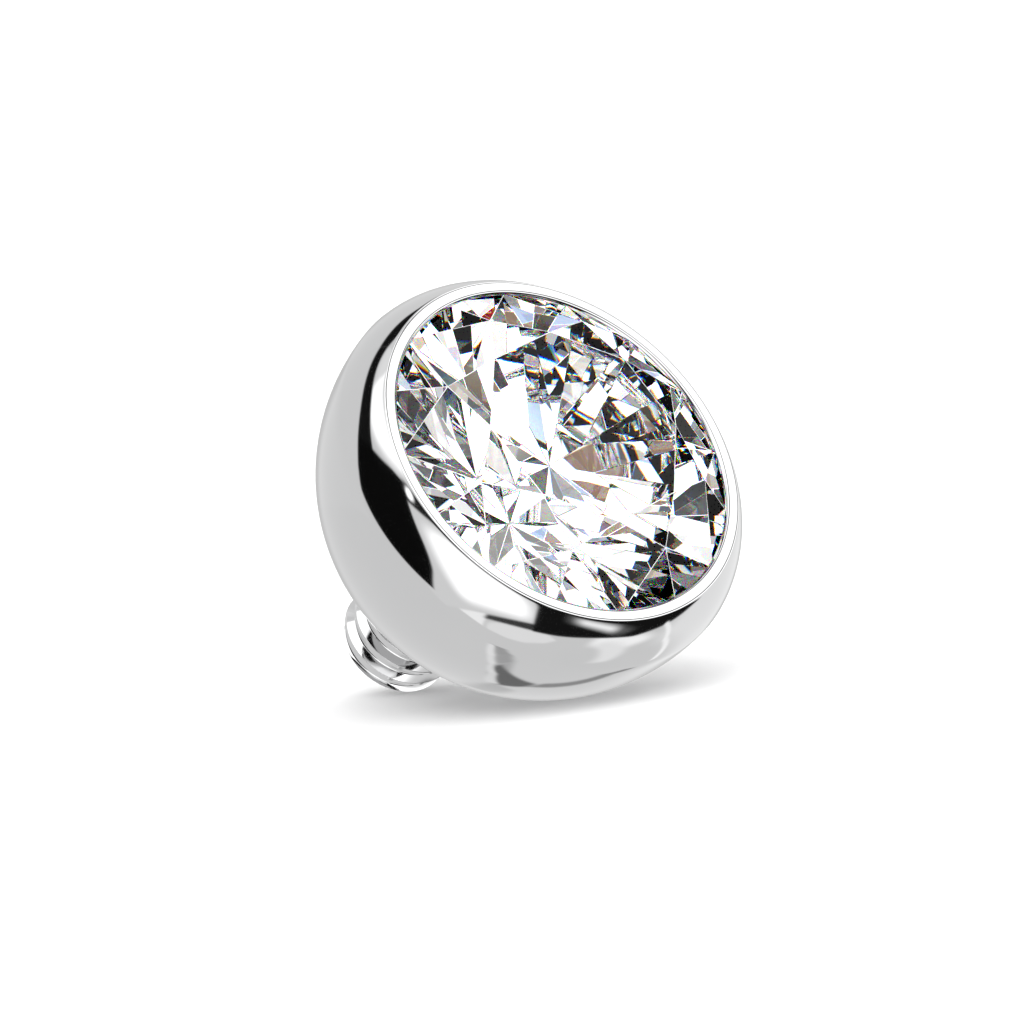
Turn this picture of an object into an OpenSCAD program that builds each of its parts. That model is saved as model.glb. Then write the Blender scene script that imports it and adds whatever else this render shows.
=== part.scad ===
// Bezel-set gem ball top for body jewellery, in millimetres.
// A turned metal ball holds a round brilliant in front and a threaded post behind.
// Each piece is drawn about its own axis, stone upwards, from the ball's greatest width at zero.
// It is then laid down as it rests by itself: on the ball and the end of the post.
// The origin is on the surface, under the middle of the part.

/* [Ball] */
// Diameter of the ball
ball_d = 5; // [4.4:0.1:6]
// Distance from the ball's centre to the flat at its back
back_depth = 2.1; // [1.9:0.05:2.15]

/* [Lip and rim] */
// Height of the rim above the ball's greatest width
rim_height = 0.55; // [0.45:0.01:0.65]
// How far the rim's outer edge lies inside the ball's radius
lip_draw = 0.296; // [0.25:0.002:0.35]
// How far the lip swells beyond a straight cone
lip_swell = 0.051; // [0.03:0.001:0.08]
// Width of the flat ring on the rim
rim_face = 0.12; // [0.08:0.01:0.16]
// Depth of the bright-cut edge inside the rim
edge_depth = 0.035; // [0.02:0.005:0.05]
// How far the bright-cut edge leans inwards over the stone
edge_lean = 0.034; // [0.02:0.002:0.05]

/* [Stone] */
// How far the lip reaches over the stone's girdle
lip_hold = 0.04; // [0.02:0.01:0.06]
// Width of the table between opposite corners, as a share of the stone's width
table_share = 0.589; // [0.52:0.001:0.66]
// Angle of the crown's main facets
crown_angle = 32; // [30:0.5:37]
// Share of the way from table to girdle that the star facets reach
star_share = 0.49; // [0.4:0.01:0.6]
// Thickness of the girdle
girdle = 0.09; // [0.06:0.01:0.12]
// Angle of the pavilion's main facets
pavilion_angle = 40; // [39:0.5:42]
// Share of the way from girdle to culet that the lower girdle facets reach
lower_share = 0.77; // [0.65:0.01:0.85]
// Turn of the stone in its seat
stone_turn = 36.5; // [0:0.5:45]
// Clearance between the stone and the metal
stone_gap = 0.012; // [0.01:0.002:0.02]

/* [Post and thread] */
// Outer diameter of the thread
thread_d = 1.36; // [1.2:0.02:1.44]
// Diameter at the root of the thread
root_d = 1.16; // [1:0.02:1.16]
// Distance from one thread to the next
pitch = 0.25; // [0.25:0.01:0.3]
// Width of the flat between threads
root_flat = 0.1; // [0.06:0.01:0.1]
// Length of the post behind the ball
post_length = 1.88; // [1.6:0.02:2.2]
// Length of the plain neck next to the ball
neck_length = 0.34; // [0.25:0.01:0.45]
// How much the crests of the thread close in towards the end, which starts it easily
crest_taper = 0.01; // [0.006:0.002:0.02]
// Radius of the domed end of the post
end_r = 0.8; // [0.74:0.02:0.9]

/* [Hidden] */

ball_r = ball_d / 2;
eps = 0.01;

// Lip: one arc from the ball's greatest width to the rim's outer edge
rim_r = ball_r - lip_draw;
rim_in_r = rim_r - rim_face;
lip_chord = norm([lip_draw, rim_height]);
lip_arc_r = lip_chord * lip_chord / (8 * lip_swell) + lip_swell / 2;
lip_out = [rim_height, lip_draw] / lip_chord;
lip_c = [(ball_r + rim_r) / 2, rim_height / 2] - (lip_arc_r - lip_swell) * lip_out;

// Stone: the crown meets the lip's edge, and all facet angles follow from the main ones
lip_edge_r = rim_in_r - edge_lean;
lip_edge_z = rim_height - edge_depth;
stone_r = lip_edge_r + lip_hold;
step = 360 / 16;
half_step = step / 2;
girdle_top = lip_edge_z - stone_gap / cos(crown_angle) - lip_hold * tan(crown_angle);
girdle_low = girdle_top - girdle;
table_r = stone_r * table_share;
table_z = girdle_top + (stone_r - table_r) * tan(crown_angle);
table_flat = table_r * cos(step);
star_r = table_flat + star_share * (stone_r - table_flat);
star_z = girdle_top + (stone_r - star_r * cos(step)) * tan(crown_angle);
upper_angle = atan((star_z - girdle_top) / ((stone_r - star_r) * cos(half_step)));
lower_r = stone_r * (1 - lower_share);
lower_drop = (stone_r - lower_r * cos(step)) * tan(pavilion_angle);
lower_angle = atan(lower_drop / ((stone_r - lower_r) * cos(half_step)));
culet_z = girdle_low - stone_r * tan(pavilion_angle);
girdle_sides = 64;

// Hollow of the cup: the girdle's pocket, the bearing cone under it and the drilled cone below
pocket_r = stone_r + stone_gap;
pocket_top = lip_edge_z - (pocket_r - lip_edge_r) * tan(crown_angle);
bearing = 0.3;
seat_gap = stone_gap / cos(pavilion_angle);
seat_top = girdle_low - (pocket_r - stone_r) * tan(pavilion_angle) - seat_gap;
bore_r = pocket_r - bearing;
bore_top = seat_top - bearing * tan(pavilion_angle);
bore_wall = 0.12;
bore_low = bore_top - bore_wall;
drill_z = bore_low - bore_r;

// Post: from the flat back to the dome at its end
thread_r = thread_d / 2;
root_r = root_d / 2;
end_z = -(back_depth + post_length);
end_c = end_z + end_r;
neck_z = -(back_depth + neck_length);
end_side_r = thread_r - crest_taper;

// Thread groove: flanks of a 60 degree thread, cut from beyond the end up to the neck
steps_per_turn = 24;
crest_clear = 0.008;
cut_r = thread_r / cos(180 / steps_per_turn) + crest_clear;
flank = tan(30);
first_cut = 0.1;
groove_start = end_z + first_cut;
groove_end = neck_z - root_flat;
groove_steps = floor((groove_end - groove_start) / pitch * steps_per_turn);
fade_steps = 6;
fade_share = 0.98;
// Height of the groove's middle on the underside, where the part rests
groove_z = -3.558;
groove_phase = (groove_start - groove_z) / pitch * 360;

// Turn of the line where the turned outline starts, which is kept well away from the underside
seam_turn = 35;

// Resting pose: the ball and the domed end touch one plane
lay_angle = asin((ball_r - end_r) / -end_c);
back_reach = -end_c * cos(lay_angle) + end_r;
front_reach = rim_height * cos(lay_angle) + rim_r * sin(lay_angle);
middle_x = (back_reach - front_reach) / 2;

// Turns a piece from its own axis to the way the part rests
module laid_down() {
    translate([middle_x, 0, ball_r]) rotate([0, 90 - lay_angle, 0]) children();
}

// Half section of the ball, its lip and the post
module cup_outline() {
    // Ball below its greatest width, cut flat at the back
    intersection() {
        circle(r = ball_r, $fn = 72);
        translate([0, -back_depth]) square([ball_r + eps, back_depth]);
    }
    // Swelling lip above it
    intersection() {
        translate(lip_c) circle(r = lip_arc_r, $fn = 72);
        translate([lip_c.x, 0]) square([ball_r, rim_height]);
    }
    translate([0, -eps]) square([lip_c.x + eps, rim_height + eps]);
    // Post with a domed end
    intersection() {
        polygon([
            [0, end_z],
            [end_side_r, end_z],
            [thread_r, neck_z],
            [thread_r, eps - back_depth],
            [0, eps - back_depth]
        ]);
        union() {
            translate([0, end_c]) circle(r = end_r, $fn = 72);
            translate([0, end_c]) square([end_r, -end_c]);
        }
    }
}

// Half section of the stone's pocket, its bearing and the drilled hollow
module cup_hollow() {
    polygon([
        [0, drill_z],
        [bore_r, bore_low],
        [bore_r, bore_top],
        [pocket_r, seat_top],
        [pocket_r, pocket_top],
        [lip_edge_r, lip_edge_z],
        [rim_in_r, rim_height],
        [rim_in_r, rim_height + eps],
        [0, rim_height + eps]
    ]);
}

// Right-hand helical groove, swept ring by ring, which runs out next to the neck
module thread_groove() {
    function depth_at(i) =
        let (left = (groove_steps - i) / fade_steps)
        left < 1 ? (1 - left) * (cut_r - root_r) * fade_share : 0;
    function ring(i) =
        let (
            turn = i * 360 / steps_per_turn + groove_phase,
            mid = groove_start + i * pitch / steps_per_turn,
            inner = root_r + depth_at(i),
            low = root_flat / 2 + (inner - root_r) * flank,
            high = root_flat / 2 + (cut_r - root_r) * flank,
            section = [[inner, -low], [cut_r, -high], [cut_r, high], [inner, low]]
        )
        [for (p = section) [p[0] * cos(turn), p[0] * sin(turn), mid + p[1]]];
    corners = [for (i = [0:groove_steps]) each ring(i)];
    walls = [
        for (i = [0:groove_steps - 1], k = [0:3])
            let (a = 4 * i + k, b = 4 * i + (k + 1) % 4)
            each [[a, b, a + 4], [b, b + 4, a + 4]]
    ];
    last = 4 * groove_steps;
    ends = [[0, 2, 1], [0, 3, 2], [last, last + 1, last + 2], [last, last + 2, last + 3]];
    polyhedron(points = corners, faces = concat(walls, ends), convexity = 12);
}

module bezel_cup() {
    color("silver")
        laid_down() difference() {
            rotate([0, 0, seam_turn]) rotate_extrude($fn = 72) difference() {
                cup_outline();
                cup_hollow();
            }
            thread_groove();
        }
}

// Corners of the cut: the girdle's two scalloped edges follow the planes of the facets next to them
function girdle_ring(z, slope) = [
    for (k = [0:girdle_sides - 1])
        let (
            around = k * 360 / girdle_sides,
            off = around - (floor(around / step) * step + half_step)
        )
        [stone_r * cos(around), stone_r * sin(around), z + slope * stone_r * (cos(half_step) - cos(off))]
];
function ring_of_eight(r, z, start) = [for (k = [0:7]) [r * cos(45 * k + start), r * sin(45 * k + start), z]];

module gemstone() {
    corners = concat(
        ring_of_eight(table_r, table_z, 0),
        ring_of_eight(star_r, star_z, step),
        girdle_ring(girdle_top, tan(upper_angle)),
        girdle_ring(girdle_low, -tan(lower_angle)),
        ring_of_eight(lower_r, girdle_low - lower_drop, step),
        [[0, 0, culet_z]]
    );
    color([0.93, 0.96, 1, 0.7])
        laid_down() rotate([0, 0, stone_turn])
            hull() polyhedron(points = corners, faces = [[for (i = [0:len(corners) - 1]) i]]);
}

bezel_cup();
gemstone();
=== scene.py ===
# %% [markdown]
# # A bezel-set gem ball top
#
# This lesson dresses the threaded top of a piece of body jewellery. It is a steel ball 5 mm across,
# cut flat at the back, with a round brilliant set in front and a short threaded post behind. We turn
# the metal as a lathe would, cut the stone as a lapidary would, and light both in a small studio.

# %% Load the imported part
import math

import bmesh
import bpy
import numpy as np
from mathutils import Matrix, Vector


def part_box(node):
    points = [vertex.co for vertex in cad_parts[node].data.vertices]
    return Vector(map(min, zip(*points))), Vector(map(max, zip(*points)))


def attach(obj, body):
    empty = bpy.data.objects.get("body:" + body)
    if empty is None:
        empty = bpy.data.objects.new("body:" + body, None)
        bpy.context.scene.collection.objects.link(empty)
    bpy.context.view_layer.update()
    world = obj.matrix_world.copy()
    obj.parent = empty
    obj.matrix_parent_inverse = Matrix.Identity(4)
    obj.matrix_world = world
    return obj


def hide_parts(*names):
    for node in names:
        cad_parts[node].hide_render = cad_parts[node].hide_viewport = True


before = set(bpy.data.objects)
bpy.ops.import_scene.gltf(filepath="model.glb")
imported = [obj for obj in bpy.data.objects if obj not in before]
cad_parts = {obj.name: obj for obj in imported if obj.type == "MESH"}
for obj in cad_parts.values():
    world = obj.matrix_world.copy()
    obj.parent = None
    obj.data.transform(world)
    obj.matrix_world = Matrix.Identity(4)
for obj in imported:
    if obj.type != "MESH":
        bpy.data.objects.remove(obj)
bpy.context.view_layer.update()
print("nodes:", sorted(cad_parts))

# %% [markdown]
# ## The way the top lies
#
# Both pieces are round about one axis, so each is made upright round Z, in millimetres, with the
# ball's greatest width at zero. One matrix then lays them down the way the real top rests, on its ball
# and on the domed end of its post. The angle follows from two circles that touch one line.

# %% The resting pose
MM = 0.001
BALL_R = 2.5
END_R = 0.8
END_Z = -3.98
END_CENTRE = END_Z + END_R
RIM_R = 2.204
RIM_Z = 0.55

lay = math.asin((BALL_R - END_R) / -END_CENTRE)
back_reach = -END_CENTRE * math.cos(lay) + END_R
front_reach = RIM_Z * math.cos(lay) + RIM_R * math.sin(lay)
BALL_CENTRE = Vector(((back_reach - front_reach) / 2, 0, BALL_R))
LAID = (
    Matrix.Scale(MM, 4)
    @ Matrix.Translation(BALL_CENTRE)
    @ Matrix.Rotation(math.pi / 2 - lay, 4, "Y")
)
print(f"the stone's axis points {math.degrees(lay):.1f} degrees above the surface")

# %% [markdown]
# ## The camera
#
# The photograph was taken from the side of the stone and a little above, from far off for so small a
# thing, so the lens is long. The camera stands at its own azimuth and elevation as seen from the ball,
# and is rolled a little. The ball's centre isn't in the middle of the picture, so the camera is moved
# sideways by that much.

# %% Camera
VIEW_AZIMUTH = math.radians(-37.99)
VIEW_ELEVATION = math.radians(5)
VIEW_ROLL = math.radians(-6.2)
STAND_OFF = 60
BALL_IN_VIEW = Vector((0.321, 0.410, 0))
LENS = 190.3
SENSOR = 36
NEAREST = 0.001
FARTHEST = 10

turned = (
    Matrix.Rotation(VIEW_AZIMUTH + math.pi / 2, 4, "Z")
    @ Matrix.Rotation(math.pi / 2 - VIEW_ELEVATION, 4, "X")
    @ Matrix.Rotation(VIEW_ROLL, 4, "Z")
)
eye = BALL_CENTRE + turned.to_3x3() @ (Vector((0, 0, STAND_OFF)) - BALL_IN_VIEW)
camera = bpy.data.objects.new("camera", bpy.data.cameras.new("camera"))
camera.matrix_world = Matrix.Translation(eye * MM) @ turned
camera.data.lens = LENS
camera.data.sensor_width = SENSOR
camera.data.clip_start = NEAREST
camera.data.clip_end = FARTHEST
bpy.context.scene.collection.objects.link(camera)
bpy.context.scene.camera = camera
print(f"the camera stands {eye.z:.2f} mm above the surface")

# %% [markdown]
# ## Shader maths in plain Python
#
# A material is a tree of nodes, which is tedious to wire by hand. One small class wraps a node's socket,
# so that an ordinary expression such as `1 - mask` adds the Math nodes itself. Any other node comes from
# one method, which takes the node's type, its settings and what goes into its sockets.


# %% The socket class
class Socket:
    """A socket of a node tree, with arithmetic."""

    def __init__(self, tree, socket):
        self.tree = tree
        self.socket = socket

    def node(self, kind, settings=None, **inputs):
        """Adds a node: its settings first, then its sockets by name or, as i0, i1, by number."""
        node = self.tree.nodes.new(kind)
        for name, value in (settings or {}).items():
            setattr(node, name, value)
        for name, value in inputs.items():
            number = name[1:].isdigit() and name[0] == "i"
            target = node.inputs[int(name[1:]) if number else name.replace("_", " ")]
            if isinstance(value, Socket):
                self.tree.links.new(value.socket, target)
            else:
                target.default_value = value
        return node

    def out(self, node, name=0):
        return Socket(self.tree, node.outputs[name])

    def math(self, operation, *values):
        inputs = {f"i{k}": v for k, v in enumerate(values)}
        return self.out(self.node("ShaderNodeMath", {"operation": operation}, **inputs))

    def __add__(self, other):
        return self.math("ADD", self, other)

    def __sub__(self, other):
        return self.math("SUBTRACT", self, other)

    def __mul__(self, other):
        return self.math("MULTIPLY", self, other)

    def __rsub__(self, other):
        return self.math("SUBTRACT", other, self)

    __radd__ = __add__
    __rmul__ = __mul__

    def step(self, low, high):
        """0 below low and 1 above high, with a smooth passage between."""
        node = self.node(
            "ShaderNodeMapRange",
            {"interpolation_type": "SMOOTHSTEP"},
            Value=self, From_Min=low, From_Max=high,
        )
        return self.out(node)


def new_tree(owner):
    """An empty node tree for a material or a world, as a socket to start expressions from."""
    owner.use_nodes = True
    owner.node_tree.nodes.clear()
    return Socket(owner.node_tree, None)


print("shader maths ready")

# %% [markdown]
# ## The studio
#
# Polished metal has no look of its own: it shows what stands round it, and a brilliant throws the same
# surroundings back in small pieces. The studio is a pale dome with white softboxes and black cards, as
# for any photograph of jewellery. Each card is a convex shape on the dome, given by its brightness, the
# softness of its edge and its corners in degrees of azimuth and elevation, anticlockwise. They are laid
# one over another in the order of the list. These show in the metal, each in its place: a black band
# round the lip, a white streak within it, and the greys under the ball.

# %% The cards
PALE = 0.88
AROUND_THE_METAL = [
    (1.12, 8, [(64, -42), (132, -36), (128, 0), (64, -6)]),
    (1.35, 5, [(18, -55), (46, -54), (60, -40), (44, -36), (20, -42)]),
    (0.02, 2, [(-72, 24), (-12, -20), (-4, -14), (-34, 14), (-58, 33), (-70, 36.5)]),
    (0.94, 1.5, [(-94, -42), (-22, -40.5), (-12, -16.5), (-48, 17.5), (-72, 25.5), (-94, 25.5)]),
    (1.95, 7, [(-66, -33), (-23, -36), (-17, -16), (-32, 4), (-45, 13), (-62, 13)]),
    (1.28, 1, [(-80, -42.5), (-73, -54), (-61, -47), (-55, -41.5)]),
    (1.10, 5, [(-181, 63), (-135, 62), (-135, 82), (-181, 82)]),
    (0.95, 4, [(162, 64), (181, 63), (181, 82), (162, 82)]),
    (1.80, 6, [(-140, 60), (-104, 44), (-84, 41), (-66, 37.5), (-60, 44), (-80, 62), (-140, 76)]),
    (0.01, 1.5, [
        (-181, 40), (-124, 20), (-105, 39.5), (-110, 45), (-118, 52), (-128, 57), (-140, 60),
        (-160, 62), (-181, 62.5),
    ]),
    (0.01, 1.5, [(140, 40), (150, 42), (181, 44), (181, 62.5), (165, 63.5), (155, 59), (146, 51)]),
    (0.90, 1.5, [
        (-181, -5), (-124, -5), (-122.7, 13), (-123.3, 21), (-125, 29), (-129, 37.5), (-134, 43.5),
        (-141, 48), (-152, 51.5), (-166, 53.3), (-181, 53.5),
    ]),
    (0.90, 1.5, [
        (135, -5), (181, -5), (181, 53.5), (170, 52.5), (160, 50.2), (150, 47.5), (145, 45), (142, 41),
        (139, 30),
    ]),
    (0.005, 1.2, [
        (-90, -31.5), (-82, -24), (-76, -17), (-72, -8), (-70, 2), (-69.5, 26), (-69.5, 35.5),
        (-80, 38.5), (-106, 39.5), (-125, 36), (-122.5, 11.5), (-105, -12),
    ]),
    (1.95, 1.5, [(-67.5, 26.5), (-63.5, 26.5), (-61.8, 30), (-63.5, 33.5), (-67.5, 33.5), (-69.2, 30)]),
    (1.10, 1.5, [
        (-72, -56), (-60, -63.5), (-42, -66), (-18, -62), (-8, -56), (-14, -50), (-47, -47), (-62, -50),
    ]),
    (1.15, 5, [(22, -52), (40, -64), (62, -72), (68, -66), (50, -50), (30, -46)]),
    (0.06, 1.5, [(-62, -46.3), (-24, -48.7), (-20, -40.5), (-55, -41.7)]),
    (0.01, 1.2, [
        (-26, -49.5), (-10, -50.2), (0, -49.3), (20, -45.5), (42, -40.8), (60, -29.5), (73, -16.5),
        (55, -14), (-11, -14), (-22, -40.5),
    ]),
    (0.16, 4, [(0, -31), (32, -40), (38, -33), (4, -20)]),
    (1.50, 4.5, [(5.6, -30.8), (26.7, -37), (28.4, -31.2), (7.3, -25)]),
    (1.35, 0.9, [(57, -30.5), (75, -41.5), (75.5, -38.8), (58, -28)]),
    (1.35, 0.9, [(74, -41.3), (104, -46.2), (104, -43.6), (75, -38.6)]),
    (0.66, 1.5, [(148.5, -23), (151, -38), (158, -42.5), (158, -38), (151.5, -22.5)]),
    (0.36, 1.5, [(118, -50), (148, -51.5), (152, -46), (118, -45.3)]),
    (0.58, 2.5, [(160, -50), (168, -61), (181, -69), (181, -61.5)]),
    (0.20, 1.5, [
        (150, -50.5), (160, -56), (168, -59.5), (178, -62.5), (178, -60), (157, -41.3), (152, -44.5),
    ]),
    (0.52, 2.0, [(-181, -68), (-165, -72), (-165, -65.6), (-181, -61)]),
    (0.50, 2.0, [(-166, -71.5), (-138, -74), (-138, -68), (-166, -65.6)]),
    (0.98, 0.8, [(157, -42.5), (167, -53.5), (169.5, -52), (159.5, -41)]),
    (1.03, 0.8, [(167, -53.5), (181, -61), (181, -59), (169, -51.5)]),
    (1.08, 0.8, [(-181, -60.8), (-165, -65.5), (-165, -63), (-181, -58.5)]),
    (1.12, 0.8, [(-166, -65.3), (-140, -69.2), (-140, -66.8), (-166, -62.8)]),
    (0.62, 8, [(122, -16), (128, -22), (162, -16), (162, 14), (122, 14)]),
]
print("cards:", len(AROUND_THE_METAL))

# %% [markdown]
# One large softbox hangs high in front. For the metal a grey card with a white opening stands before
# it: the flat rim shows the opening, and the rounds of its edges show the grey, as two thin lines. For
# the stone, dark flags stand there instead, in three even rows like fences. Their gaps are what gives a
# brilliant its sparkle, because each facet shows either a flag or a gap. Two of the tones are tinted,
# tan and pale blue, as a wall and the sky would be.

# %% The flags
SOFTBOX = (2.1, 4, [
    (-8, -9), (75, -6), (128, 6), (134, 30), (138, 60), (100, 88), (-100, 88), (-78, 62), (-54, 37),
])
GREY_CARD = (0.3, 2, [(8, 12), (104, 12), (104, 74), (8, 74)])
OPENING = (2.0, 2, [(44, 34), (68, 34), (68, 51), (44, 51)])
TAN = (0.36, 0.24, 0.17)
SKY = (0.55, 0.72, 1.05)
FLAG_TONES = [0.03, 0.4, TAN, 0.03, 0.4, SKY]
FLAG_ROWS = [
    {"low": -2, "high": 20, "first": 5, "apart": 32, "width": 20, "lean": 8, "flags": 4},
    {"low": 24, "high": 46, "first": -40, "apart": 36, "width": 22, "lean": 8, "flags": 5},
    {"low": 54, "high": 76, "first": -74, "apart": 50, "width": 32, "lean": 14, "flags": 4},
]
FLAG_EDGE = 0.5
TONES_ON = 2

AROUND_THE_METAL[:0] = [SOFTBOX, GREY_CARD, OPENING]
IN_FRONT_OF_THE_STONE = [SOFTBOX]
for number, row in enumerate(FLAG_ROWS):
    for k in range(row["flags"]):
        left = row["first"] + k * row["apart"]
        right = left + row["width"]
        corners = [
            (left, row["low"]), (right, row["low"]),
            (right + row["lean"], row["high"]), (left + row["lean"], row["high"]),
        ]
        tone = FLAG_TONES[(TONES_ON * number + k) % len(FLAG_TONES)]
        IN_FRONT_OF_THE_STONE.append((tone, FLAG_EDGE, corners))
print("cards in front of the stone:", len(IN_FRONT_OF_THE_STONE))

# %% [markdown]
# The dome is a sphere of glowing paper, three metres in radius, with a point every three quarters of a
# degree. Every point gets its light from the cards that cover it, kept in a colour attribute, so that
# a ray only has to look it up. The flags are for the stone alone and would clutter the metal, so they
# hang on a second dome just inside the first, which shows only to light that has passed through the
# stone. The domes throw no shadow, because the lamp stands outside them.

# %% The domes
METAL_DOME_R = 3
STONE_DOME_R = 2.9
POINTS_AROUND = 480
glowing_paper = bpy.data.materials.new("glowing_paper")
m = new_tree(glowing_paper)
tone = m.out(m.node("ShaderNodeVertexColor", {"layer_name": "light"}))
m.node("ShaderNodeOutputMaterial", i0=m.out(m.node("ShaderNodeEmission", Color=tone)))
glowing_paper.cycles.emission_sampling = "NONE"


def card(azimuth, elevation, corners, soft):
    """1 inside a convex shape, 0 outside it, with a smooth passage across its edge."""
    inside = 1.0
    for (a0, e0), (a1, e1) in zip(corners, corners[1:] + corners[:1]):
        across, up = np.array((e0 - e1, a1 - a0)) / math.hypot(a1 - a0, e1 - e0)
        depth = (azimuth - a0) * across + (elevation - e0) * up
        passage = np.clip((depth + soft) / (2 * soft), 0, 1)
        inside = inside * passage * passage * (3 - 2 * passage)
    return inside


def hang_dome(name, radius, cards):
    """A sphere of glowing paper with the cards painted on it, one over another."""
    shape = bmesh.new()
    bmesh.ops.create_uvsphere(
        shape, u_segments=POINTS_AROUND, v_segments=POINTS_AROUND // 2, radius=radius
    )
    bmesh.ops.reverse_faces(shape, faces=shape.faces[:])
    mesh = bpy.data.meshes.new(name)
    shape.to_mesh(mesh)
    shape.free()
    points = np.empty(3 * len(mesh.vertices))
    mesh.vertices.foreach_get("co", points)
    x, y, z = points.reshape(-1, 3).T / radius
    azimuth = np.degrees(np.arctan2(y, x))
    elevation = np.degrees(np.arcsin(np.clip(z, -1, 1)))
    light = np.full((len(z), 3), PALE)
    for brightness, soft, corners in cards:
        light += card(azimuth, elevation, corners, soft)[:, None] * (np.array(brightness) - light)
    paint = mesh.color_attributes.new("light", "FLOAT_COLOR", "POINT")
    paint.data.foreach_set("color", np.column_stack([light, np.ones(len(z))]).ravel())
    mesh.materials.append(glowing_paper)
    dome = bpy.data.objects.new(name, mesh)
    bpy.context.scene.collection.objects.link(dome)
    dome.visible_shadow = False
    print(f"{name}: brightness from {light.min():.2f} to {light.max():.2f}")
    return dome


hang_dome("metal_dome", METAL_DOME_R, AROUND_THE_METAL)
stone_dome = hang_dome("stone_dome", STONE_DOME_R, AROUND_THE_METAL + IN_FRONT_OF_THE_STONE)
stone_dome.visible_camera = False
stone_dome.visible_diffuse = False
stone_dome.visible_glossy = False

world = bpy.data.worlds.new("dark")
bpy.context.scene.world = world
w = new_tree(world)
w.node("ShaderNodeOutputWorld", i0=w.out(w.node("ShaderNodeBackground", Strength=0.0)))
print("the world outside the domes is dark")

# %% [markdown]
# ## The table
#
# A plain pale surface carries the top and takes a soft shadow from one wide lamp. It doesn't show in
# the metal: the dome goes on below it, so that the black cards near the surface don't have to stand in
# the picture. Behind the top it bends upwards, as a photographer's paper sweep does, and hides its end.

# %% Floor
SWEEP_FRONT = -0.4
SWEEP_BACK = 0.25
SWEEP_R = 0.15
SWEEP_STEPS = 24
SWEEP_RISE = 0.3
SWEEP_WIDTH = 1.2
PAPER_WHITE = (0.93, 0.93, 0.93, 1)
TO_CAMERA = Matrix.Rotation(VIEW_AZIMUTH + math.pi / 2, 3, "Z")


def verts_of(made):
    return [g for g in made if isinstance(g, bmesh.types.BMVert)]


shape = bmesh.new()
front = shape.verts.new((-SWEEP_WIDTH / 2, SWEEP_FRONT, 0))
foot = shape.verts.new((-SWEEP_WIDTH / 2, SWEEP_BACK, 0))
shape.edges.new((front, foot))
bent = bmesh.ops.spin(
    shape, geom=[foot], cent=(0, SWEEP_BACK, SWEEP_R), axis=(1, 0, 0), angle=math.pi / 2,
    steps=SWEEP_STEPS,
)
top = bmesh.ops.extrude_vert_indiv(shape, verts=verts_of(bent["geom_last"]))["verts"]
bmesh.ops.translate(shape, vec=(0, 0, SWEEP_RISE), verts=top)
side = bmesh.ops.extrude_edge_only(shape, edges=shape.edges[:])["geom"]
bmesh.ops.translate(shape, vec=(SWEEP_WIDTH, 0, 0), verts=verts_of(side))
bmesh.ops.rotate(shape, cent=(0, 0, 0), matrix=TO_CAMERA, verts=shape.verts[:])
bmesh.ops.recalc_face_normals(shape, faces=shape.faces[:])
shape.faces.ensure_lookup_table()
if shape.faces[0].normal.z < 0:
    bmesh.ops.reverse_faces(shape, faces=shape.faces[:])
floor_mesh = bpy.data.meshes.new("floor")
shape.to_mesh(floor_mesh)
shape.free()
floor_mesh.shade_smooth()
floor = bpy.data.objects.new("floor", floor_mesh)
bpy.context.scene.collection.objects.link(floor)
floor.visible_glossy = False
floor.visible_transmission = False

paper = bpy.data.materials.new("white_paper")
m = new_tree(paper)
white = m.node("ShaderNodeBsdfDiffuse", Color=PAPER_WHITE)
m.node("ShaderNodeOutputMaterial", i0=m.out(white))
floor_mesh.materials.append(paper)

LAMP_ELEVATION = math.radians(52)
LAMP_SPREAD = math.radians(90)
LAMP_STRENGTH = 1.6
lamp = bpy.data.objects.new("softbox", bpy.data.lights.new("softbox", "SUN"))
lamp.data.angle = LAMP_SPREAD
lamp.data.energy = LAMP_STRENGTH
lamp.rotation_euler = (math.pi / 2 - LAMP_ELEVATION, 0, VIEW_AZIMUTH + math.pi / 2)
lamp.visible_glossy = False
lamp.visible_transmission = False
bpy.context.scene.collection.objects.link(lamp)
print("floor and lamp ready")

# %% [markdown]
# ## The outline of the metal
#
# A lathe turns the ball, its lip, the seat for the stone and the post from one bar. So we draw half of
# the section once, with lines and true arcs, round off its corners as a polisher does, and spin it.

# %% Sizes of the metal
BACK_Z = -2.1
BACK_R = math.sqrt(BALL_R**2 - BACK_Z**2)
LIP_SWELL = 0.051
RIM_IN_R = 2.084
EDGE_R, EDGE_Z = 2.05, 0.515
STONE_R = 2.09
CROWN = math.radians(32)
PAVILION = math.radians(40)
GIRDLE = 0.09
CLEAR = 0.012
BEARING = 0.3
BORE_WALL = 0.12
POST_R = 0.68
POST_END_R = 0.6725
NECK_Z = -2.44

lip_chord = Vector((RIM_R - BALL_R, 0, RIM_Z))
lip_radius = lip_chord.length**2 / (8 * LIP_SWELL) + LIP_SWELL / 2
lip_outward = Vector((RIM_Z, 0, BALL_R - RIM_R)).normalized()
LIP_CENTRE = Vector((BALL_R, 0, 0)) + lip_chord / 2 - (lip_radius - LIP_SWELL) * lip_outward
girdle_top = EDGE_Z - CLEAR / math.cos(CROWN) - (STONE_R - EDGE_R) * math.tan(CROWN)
girdle_low = girdle_top - GIRDLE
pocket_r = STONE_R + CLEAR
pocket_top = EDGE_Z - (pocket_r - EDGE_R) * math.tan(CROWN)
seat_top = girdle_low - CLEAR * math.tan(PAVILION) - CLEAR / math.cos(PAVILION)
bore_r = pocket_r - BEARING
bore_top = seat_top - BEARING * math.tan(PAVILION)
bore_low = bore_top - BORE_WALL
print(f"the stone's girdle lies between {girdle_low:.3f} and {girdle_top:.3f} mm")

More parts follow.
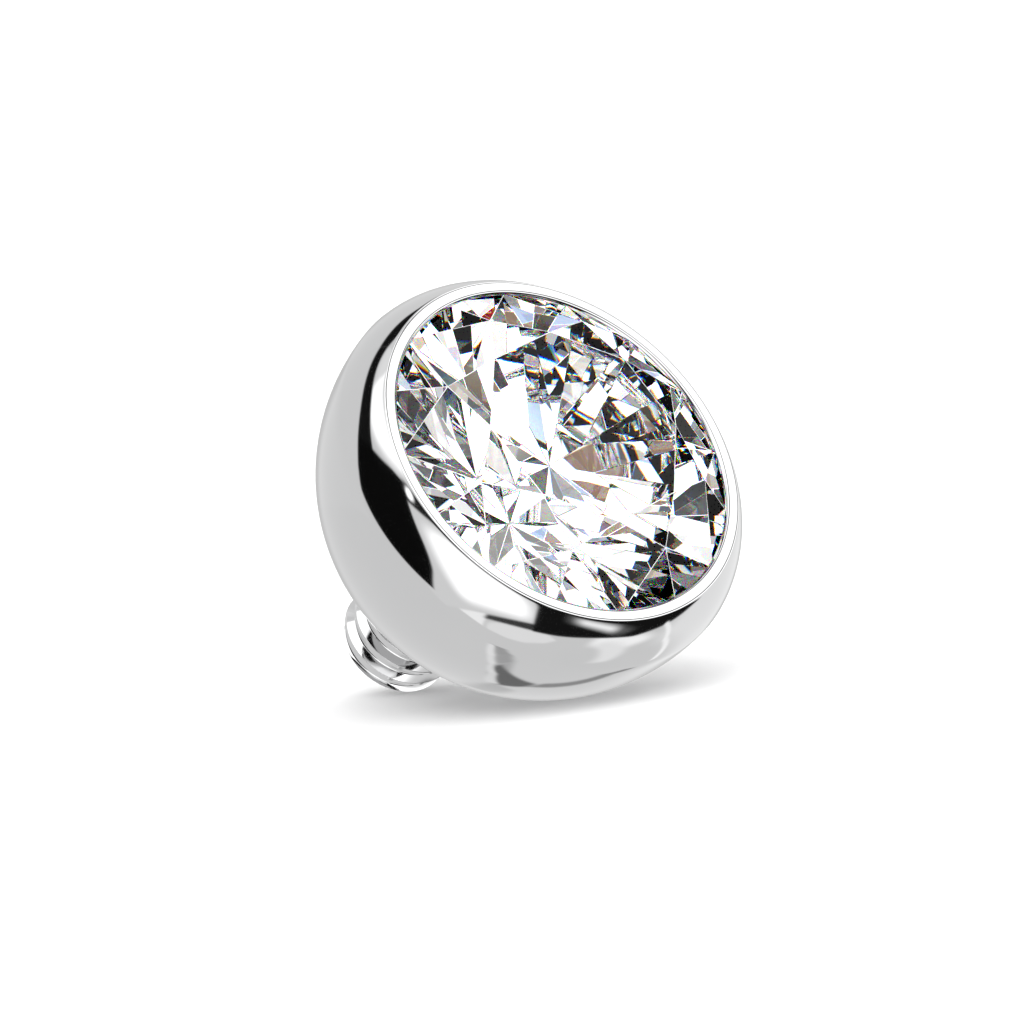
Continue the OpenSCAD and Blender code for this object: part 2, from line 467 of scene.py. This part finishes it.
# %% [markdown]
# An arc is swung with the spin operator from its first point, so it is a true arc, and a straight
# stretch is one new vertex. The corners to be rounded are kept by name as the outline reaches them.

# %% Drawing the section
ARC_STEP = math.radians(2.5)
LEAST_STEPS = 4


def line_to(shape, last, x, z):
    """Draws a straight stretch of the section from the last point."""
    new = shape.verts.new((x, 0, z))
    shape.edges.new((last, new))
    return new


def arc_to(shape, last, centre, x, z):
    """Swings the last point round a centre until it reaches the direction of x and z."""
    start = math.atan2(last.co.z - centre.z, last.co.x - centre.x)
    angle = math.atan2(z - centre.z, x - centre.x) - start
    steps = max(LEAST_STEPS, math.ceil(abs(angle) / ARC_STEP))
    swung = bmesh.ops.spin(
        shape, geom=[last], cent=centre, axis=(0, -1, 0), angle=angle, steps=steps
    )
    return next(g for g in swung["geom_last"] if isinstance(g, bmesh.types.BMVert))


section = bmesh.new()
start = section.verts.new((0, 0, END_Z))
end_centre = Vector((0, 0, END_CENTRE))
end_side_z = END_CENTRE - math.sqrt(END_R**2 - POST_END_R**2)
end_side = arc_to(section, start, end_centre, POST_END_R, end_side_z)
neck = line_to(section, end_side, POST_R, NECK_Z)
post_root = line_to(section, neck, POST_R, BACK_Z)
back = line_to(section, post_root, BACK_R, BACK_Z)
widest = arc_to(section, back, Vector(), BALL_R, 0)
rim_out = arc_to(section, widest, LIP_CENTRE, RIM_R, RIM_Z)
rim_in = line_to(section, rim_out, RIM_IN_R, RIM_Z)
edge = line_to(section, rim_in, EDGE_R, EDGE_Z)
last = edge
for x, z in [
    (pocket_r, pocket_top), (pocket_r, seat_top), (bore_r, bore_top), (bore_r, bore_low),
    (0, bore_low - bore_r),
]:
    last = line_to(section, last, x, z)
print("points in the section:", len(section.verts))

# %% [markdown]
# A real edge is never perfectly sharp, and on polished metal its tiny round shows as a bright line. The
# section is filled for a moment, so that the bevel operator can round its corners, each by its own
# radius, and the fill and the side on the axis then go again.

# %% Rounding the corners
CORNERS = [
    (end_side, 0.02), (post_root, 0.02), (back, 0.03), (rim_out, 0.014), (rim_in, 0.014),
    (edge, 0.006),
]
CORNER_STEPS = 4
ON_AXIS = 1e-6

section.edges.new((last, start))
bmesh.ops.edgeloop_fill(section, edges=section.edges[:])
for corner, radius in CORNERS:
    bmesh.ops.bevel(
        section, geom=[corner], affect="VERTICES", offset=radius, segments=CORNER_STEPS,
        profile=0.5, material=-1, clamp_overlap=True,
    )
bmesh.ops.delete(section, geom=section.faces[:], context="FACES_ONLY")
on_axis = [e for e in section.edges if all(abs(v.co.x) < ON_AXIS for v in e.verts)]
bmesh.ops.delete(section, geom=on_axis, context="EDGES")
print("points after rounding:", len(section.verts))

# %% [markdown]
# Now the lathe turns: one full spin of the section round Z. Its ends on the axis come out once for
# each step, so they are merged, which closes the two poles.

# %% Turning the metal
STEPS_AROUND = 256
SAME = 1e-5


def mesh_of(shape, name):
    """Closes seams and poles, turns all faces outwards and makes an object of the shape."""
    bmesh.ops.remove_doubles(shape, verts=shape.verts[:], dist=SAME)
    bmesh.ops.recalc_face_normals(shape, faces=shape.faces[:])
    mesh = bpy.data.meshes.new(name)
    shape.to_mesh(mesh)
    shape.free()
    piece = bpy.data.objects.new(name, mesh)
    bpy.context.scene.collection.objects.link(piece)
    return piece


bmesh.ops.spin(
    section, geom=section.verts[:] + section.edges[:], cent=(0, 0, 0), axis=(0, 0, 1),
    angle=math.tau, steps=STEPS_AROUND, use_merge=True,
)
cup = mesh_of(section, "ball_cup")
print("faces of the turned metal:", len(cup.data.polygons))

# %% [markdown]
# ## The thread
#
# A thread is cut with a pointed tool that follows a screw line. We do the same: the tool's section, with
# flanks at 60 degrees and a small flare that breaks the sharp crest, is spun with a rise at each step.
# The last steps lead the tool out of the metal, and a Boolean takes the cut away from the post.

# %% The cutter
PITCH = 0.25
ROOT_R = 0.58
ROOT_FLAT = 0.1
FLANK = math.tan(math.radians(30))
FLARE_R = 0.671
CUT_R = 0.692
FLARE = 0.95
ROOT_ROUND = 0.014
ROOT_STEPS = 3
GROOVE_START = -4.058
GROOVE_END = -2.54
STEPS_PER_TURN = 72
FADE_STEPS = 24
FADE_OUT = 0.13

half_root = ROOT_FLAT / 2
half_flare = half_root + (FLARE_R - ROOT_R) * FLANK
half_top = half_flare + (CUT_R - FLARE_R) * FLARE
cutter = bmesh.new()
tool = [
    cutter.verts.new((r, 0, GROOVE_START + h))
    for r, h in [
        (ROOT_R, -half_root), (FLARE_R, -half_flare), (CUT_R, -half_top),
        (CUT_R, half_top), (FLARE_R, half_flare), (ROOT_R, half_root),
    ]
]
cutter.faces.new(tool)
bmesh.ops.bevel(
    cutter, geom=[tool[0], tool[-1]], affect="VERTICES", offset=ROOT_ROUND, segments=ROOT_STEPS,
    profile=0.5, material=-1,
)
steps = round((GROOVE_END - GROOVE_START) / PITCH * STEPS_PER_TURN)
rise = PITCH / STEPS_PER_TURN
cut = bmesh.ops.spin(
    cutter, geom=cutter.faces[:], cent=(0, 0, 0), axis=(0, 0, 1), dvec=(0, 0, rise),
    angle=math.tau * steps / STEPS_PER_TURN, steps=steps,
)
end = [g for g in cut["geom_last"] if isinstance(g, bmesh.types.BMFace)]
print("the groove goes round", round(steps / STEPS_PER_TURN, 2), "times")

# %% [markdown]
# The tool's way out is made in the same manner, one extrusion for each step: the end of the cut is
# extruded, turned on by a step and moved a little away from the axis.

# %% The way out
turn = Matrix.Rotation(math.tau / STEPS_PER_TURN, 3, "Z")
for _ in range(FADE_STEPS):
    around = list(end[0].edges)
    grown = bmesh.ops.extrude_face_region(cutter, geom=end + around)["geom"]
    end = [g for g in grown if isinstance(g, bmesh.types.BMFace)]
    moved = [g for g in grown if isinstance(g, bmesh.types.BMVert)]
    bmesh.ops.rotate(cutter, cent=(0, 0, 0), matrix=turn, verts=moved)
    outward = end[0].calc_center_median().to_2d().normalized() * FADE_OUT / FADE_STEPS
    bmesh.ops.translate(cutter, vec=(outward.x, outward.y, rise), verts=moved)
groove = mesh_of(cutter, "groove")

cutting = cup.modifiers.new("thread", "BOOLEAN")
cutting.operation = "DIFFERENCE"
cutting.solver = "EXACT"
cutting.object = groove
bpy.context.view_layer.update()
threaded = bpy.data.meshes.new_from_object(
    cup.evaluated_get(bpy.context.evaluated_depsgraph_get())
)
cup.modifiers.clear()
cup.data = threaded
bpy.data.objects.remove(groove)
print("faces with the thread:", len(cup.data.polygons))

# %% [markdown]
# ## Cutting the stone
#
# A round brilliant is ground facet by facet on a flat wheel. A facet is a plane, so each one here is one
# bisect_plane that takes away what lies beyond it, and the hole that it leaves is filled. Only the main
# angles are chosen. The star and girdle facets follow from the points in which they have to meet.

# %% Sizes of the stone
TABLE_SHARE = 0.589
STAR_SHARE = 0.49
LOWER_SHARE = 0.77
STONE_TURN = math.radians(36.5)
EIGHTH = math.tau / 8
GIRDLE_SIDES = 96
ROUGH_HEIGHT = 4
MEETING = 2e-4

table_r = STONE_R * TABLE_SHARE
table_z = girdle_top + (STONE_R - table_r) * math.tan(CROWN)
table_flat = table_r * math.cos(EIGHTH / 2)
star_r = table_flat + STAR_SHARE * (STONE_R - table_flat)
star_z = girdle_top + (STONE_R - star_r * math.cos(EIGHTH / 2)) * math.tan(CROWN)
quarter_r = STONE_R * math.cos(EIGHTH / 4)
lower_r = STONE_R * (1 - LOWER_SHARE)
lower_z = girdle_low - (STONE_R - lower_r * math.cos(EIGHTH / 2)) * math.tan(PAVILION)
star_slope = math.atan2(table_z - star_z, star_r - table_flat)
upper_slope = math.atan2(star_z - girdle_top, (STONE_R - star_r) * math.cos(EIGHTH / 4))
lower_slope = math.atan2(girdle_low - lower_z, (STONE_R - lower_r) * math.cos(EIGHTH / 4))
print(f"table {2 * table_r:.2f} mm wide, {table_z - girdle_top:.2f} mm above the girdle")


# %% The cut
def cut_facet(rough, turn, slope, r, z):
    """Grinds the flat that passes through a point at radius r and height z, sloping outwards."""
    up = -1 if slope < 0 else 1
    tilt = abs(slope)
    outward = Vector((math.cos(turn), math.sin(turn), 0))
    normal = outward * math.sin(tilt) + Vector((0, 0, up * math.cos(tilt)))
    cut = bmesh.ops.bisect_plane(
        rough, geom=rough.verts[:] + rough.edges[:] + rough.faces[:], dist=SAME,
        plane_co=outward * r + Vector((0, 0, z)), plane_no=normal, clear_outer=True,
    )
    rim = [g for g in cut["geom_cut"] if isinstance(g, bmesh.types.BMEdge)]
    bmesh.ops.edgeloop_fill(rough, edges=rim)


rough = bmesh.new()
bmesh.ops.create_cone(
    rough, cap_ends=True, segments=GIRDLE_SIDES, radius1=STONE_R, radius2=STONE_R,
    depth=ROUGH_HEIGHT,
)
cut_facet(rough, 0, 0, 0, table_z)
for k in range(8):
    main, between = k * EIGHTH, (k + 0.5) * EIGHTH
    cut_facet(rough, main, CROWN, STONE_R, girdle_top)
    cut_facet(rough, main, -PAVILION, STONE_R, girdle_low)
    for side in (-EIGHTH / 4, EIGHTH / 4):
        cut_facet(rough, between + side, upper_slope, quarter_r, girdle_top)
        cut_facet(rough, between + side, -lower_slope, quarter_r, girdle_low)
    cut_facet(rough, between, star_slope, star_r, star_z)
bmesh.ops.remove_doubles(rough, verts=rough.verts[:], dist=MEETING)
print("faces of the stone:", len(rough.faces))

# %% [markdown]
# The edges between facets are broken by a few microns, as wear and the last polish leave them. Their
# faces are marked here, for the stone's finish to find them and paint them pale. This is a painted
# highlight, which draws each edge as a hair-thin pale line. The facets stay perfectly flat.

# %% Edges between facets
EDGE_BREAK = 0.005
LEAST_CREASE = math.radians(4.5)

# The marks show the stone's finish where to paint the pale edge highlight.
mark = rough.faces.layers.float.new("edge")
creases = [
    e for e in rough.edges
    if len(e.link_faces) == 2 and e.calc_face_angle() > LEAST_CREASE
]
broken = bmesh.ops.bevel(
    rough, geom=creases, affect="EDGES", offset=EDGE_BREAK, segments=1, profile=0.5,
    material=-1, clamp_overlap=True,
)
for face in broken["faces"]:
    face[mark] = 1.0
bmesh.ops.rotate(
    rough, cent=(0, 0, 0), matrix=Matrix.Rotation(STONE_TURN, 3, "Z"), verts=rough.verts[:]
)
stone = mesh_of(rough, "round_brilliant")
print("faces with broken edges:", len(stone.data.polygons))

# %% [markdown]
# ## The metal's finish
#
# The steel is polished like a mirror. Its colour is a plain cool grey, and what makes it steel and not
# a drawing is that the polish isn't perfect: the roughness wanders a little, and the lathe has left the
# faintest rings round the axis. The pattern is read in the turned axes of the piece.

# %% Polished steel
STEEL_COOL = (0.615, 0.617, 0.623, 1)
STEEL_PALE = (0.645, 0.645, 0.647, 1)
CLOUD_SCALE = 1.4
RING_SCALE = 2.0
RING_STRETCH = (0.3, 0.3, 24)
RING_HEIGHT = 0.0002
RING_STRENGTH = 0.02
LEAST_ROUGH = 0.03
CLOUD_ROUGH = 0.03
RING_ROUGH = 0.02


def turned_axes(tree):
    """The place on a piece in the axes that it was made in, in millimetres."""
    laid_place = tree.out(tree.node("ShaderNodeTexCoord"), "Object")
    mapping = tree.node(
        "ShaderNodeMapping", {"vector_type": "TEXTURE"}, Vector=laid_place,
        Location=BALL_CENTRE * MM, Rotation=(0, math.pi / 2 - lay, 0), Scale=(MM, MM, MM),
    )
    return tree.out(mapping)


def noise(tree, place, scale, detail):
    """A cloudy pattern between 0 and 1."""
    return tree.out(
        tree.node("ShaderNodeTexNoise", Vector=place, Scale=scale, Detail=detail), "Fac"
    )


polished_steel = bpy.data.materials.new("polished_steel")
m = new_tree(polished_steel)
own_axes = turned_axes(m)
stretched = m.out(m.node("ShaderNodeMapping", Vector=own_axes, Scale=RING_STRETCH))
cloud = noise(m, own_axes, CLOUD_SCALE, 3.0)
rings = noise(m, stretched, RING_SCALE, 2.0)
# When it mixes colours, the Mix node takes them in its sockets 6 and 7 and gives the result from 2.
mixed = m.node("ShaderNodeMix", {"data_type": "RGBA"}, i0=cloud, i6=STEEL_COOL, i7=STEEL_PALE)
tint = m.out(mixed, 2)
bump = m.node("ShaderNodeBump", Strength=RING_STRENGTH, Distance=RING_HEIGHT * MM, Height=rings)
steel = m.node(
    "ShaderNodeBsdfPrincipled", Base_Color=tint, Metallic=1.0,
    Roughness=LEAST_ROUGH + CLOUD_ROUGH * cloud + RING_ROUGH * rings, Normal=m.out(bump),
)
m.node("ShaderNodeOutputMaterial", i0=m.out(steel))
print("polished steel ready")

# %% [markdown]
# ## The stone's finish
#
# Cubic zirconia bends light more than glass does, and bends blue more than red, which gives a brilliant
# its fire. A shader has one index of refraction, so where light enters there are three, one for each
# primary colour, each with its own index, and their colours add up to clear. Inside the stone one index
# does. Below the girdle the stone's flats throw the light back, and the polished seat close behind them
# returns most of what leaks, so those flats are mirrors here. Mix Shaders choose by the side of the
# facet that the light meets and by its place. The last one lays a white layer outside: hardly any of it
# as dust on the facets, and more on the broken edges of the crown, where it is a painted highlight.

# %% Clear stone
FIRE = [((1, 0, 0, 1), 2.159), ((0, 1, 0, 1), 2.165), ((0, 0, 1, 1), 2.172)]
INDEX = 2.165
CLEAR_WHITE = (1, 1, 1, 1)
SHEEN = 0.015
BACK_MIRROR = (0.93, 0.93, 0.93, 1)
# The white of the outer layer: real dust on the facets, and a painted highlight on the broken edges.
DUST_AND_HIGHLIGHT_WHITE = (0.9, 0.9, 0.9, 1)
DUST_SCALE = 1.5
DUST_FROM, DUST_TO = 0.55, 0.75
DUST = 0.004
# How much white is painted on the broken crown edges, as a painted highlight.
EDGE_HIGHLIGHT = 0.6
PASSAGE = 0.001

clear_stone = bpy.data.materials.new("clear_stone")
m = new_tree(clear_stone)
red, green, blue = (
    m.out(m.node("ShaderNodeBsdfRefraction", Color=colour, Roughness=0.0, IOR=index))
    for colour, index in FIRE
)
enters = m.out(m.node("ShaderNodeAddShader", i0=red, i1=green))
enters = m.out(m.node("ShaderNodeAddShader", i0=enters, i1=blue))
sheen = m.out(m.node("ShaderNodeBsdfAnisotropic", Color=CLEAR_WHITE, Roughness=0.0))
enters = m.out(m.node("ShaderNodeMixShader", i0=SHEEN, i1=enters, i2=sheen))
crown = m.out(m.node("ShaderNodeBsdfGlass", Color=CLEAR_WHITE, Roughness=0.0, IOR=INDEX))
mirror = m.out(m.node("ShaderNodeBsdfAnisotropic", Color=BACK_MIRROR, Roughness=0.0))
own_axes = turned_axes(m)
height = m.out(m.node("ShaderNodeSeparateXYZ", i0=own_axes), "Z")
below = 1 - height.step(girdle_low - PASSAGE, girdle_low)
inside = m.out(m.node("ShaderNodeMixShader", i0=below, i1=crown, i2=mirror))
within = m.out(m.node("ShaderNodeNewGeometry"), "Backfacing")
gem = m.out(m.node("ShaderNodeMixShader", i0=within, i1=enters, i2=inside))
dust = noise(m, own_axes, DUST_SCALE, 4.0).step(DUST_FROM, DUST_TO) * DUST
highlight_edges = m.out(m.node("ShaderNodeAttribute", {"attribute_name": "edge"}), "Fac")
# Painted highlight: white is laid over the broken edges of the crown, which draws them as pale lines.
painted_edge_highlight = highlight_edges * EDGE_HIGHLIGHT * (1 - below)
dust_and_highlight_film = m.out(m.node("ShaderNodeBsdfDiffuse", Color=DUST_AND_HIGHLIGHT_WHITE))
gem = m.out(m.node("ShaderNodeMixShader", i0=(dust + painted_edge_highlight) * (1 - within), i1=gem, i2=dust_and_highlight_film))
m.node("ShaderNodeOutputMaterial", i0=gem)
print("clear stone ready")

# %% [markdown]
# ## Laying the pieces down
#
# Each piece takes its material and its place. The metal is smooth apart from its true edges. The stone
# is flat facet by facet. Both ride on the one body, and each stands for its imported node.

# %% Finishing
SHARP = math.radians(35)
for piece, finish, slot, node in [
    (cup, polished_steel, "polished_steel", "bezel_cup"),
    (stone, clear_stone, "clear_stone", "gemstone"),
]:
    piece.data.transform(LAID)
    piece.data.materials.clear()
    piece.data.materials.append(finish)
    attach(piece, "root")
    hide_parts(node)
    low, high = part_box(node)
    points = [v.co for v in piece.data.vertices]
    for limit, corner in ((min, low), (max, high)):
        apart = Vector(limit(p[i] for p in points) for i in range(3)) - corner
        print(f"{piece.name}: {apart.length / MM:.3f} mm from the corner of its node's box")
cup.data.shade_smooth()
cup.data.set_sharp_from_angle(angle=SHARP)
stone.data.shade_flat()

# %% [markdown]
# ## The view transform
#
# White has to stay white, so the scene uses the plain transform. A ray that enters a brilliant is
# thrown back several times before it leaves, so the ray depth is raised as well.

# %% Light paths
MOST_BOUNCES = 24
METAL_BOUNCES = 12

scene = bpy.context.scene
scene.view_settings.view_transform = "Standard"
scene.cycles.max_bounces = MOST_BOUNCES
scene.cycles.transmission_bounces = MOST_BOUNCES
scene.cycles.glossy_bounces = METAL_BOUNCES
scene.cycles.caustics_reflective = True
scene.cycles.caustics_refractive = True
print("ray depth", scene.cycles.max_bounces)
